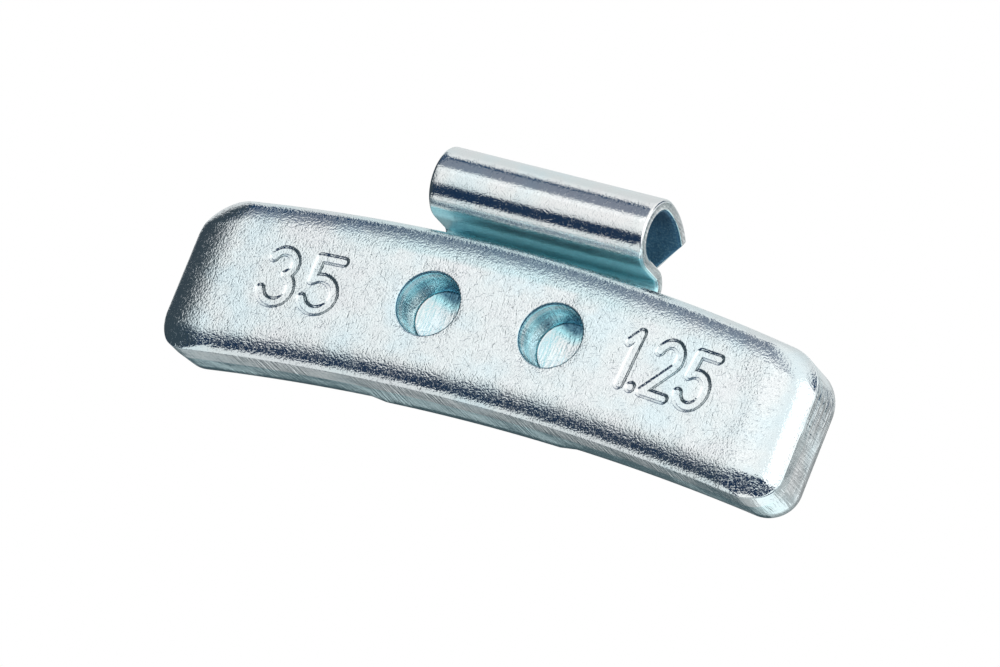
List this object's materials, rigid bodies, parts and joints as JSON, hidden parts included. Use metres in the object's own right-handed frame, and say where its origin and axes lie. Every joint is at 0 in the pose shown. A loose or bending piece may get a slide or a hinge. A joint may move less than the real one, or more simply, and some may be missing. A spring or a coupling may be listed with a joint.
{
  "type": "wheel balance weight",
  "caption": "Clip-on wheel balance weight: a curved, softly rounded steel bar with punched rivets that hold a folded spring clip for the rim flange.",
  "frame": {"origin": "middle of the hook's flat floor, on which the edge of the rim's flange sits", "axes": "+X along the bar, -Y out of the marked front face, +Z away from the wheel's centre"},
  "size_m": [0.0544, 0.0098, 0.0216],
  "materials": {
    "bar": "bright zinc plating with a blue passivation",
    "clip": "bright zinc plating with a blue passivation"
  },
  "bodies": {
    "root": {"weight_body": "bar", "clip": "clip"}
  },
  "joints": []
}
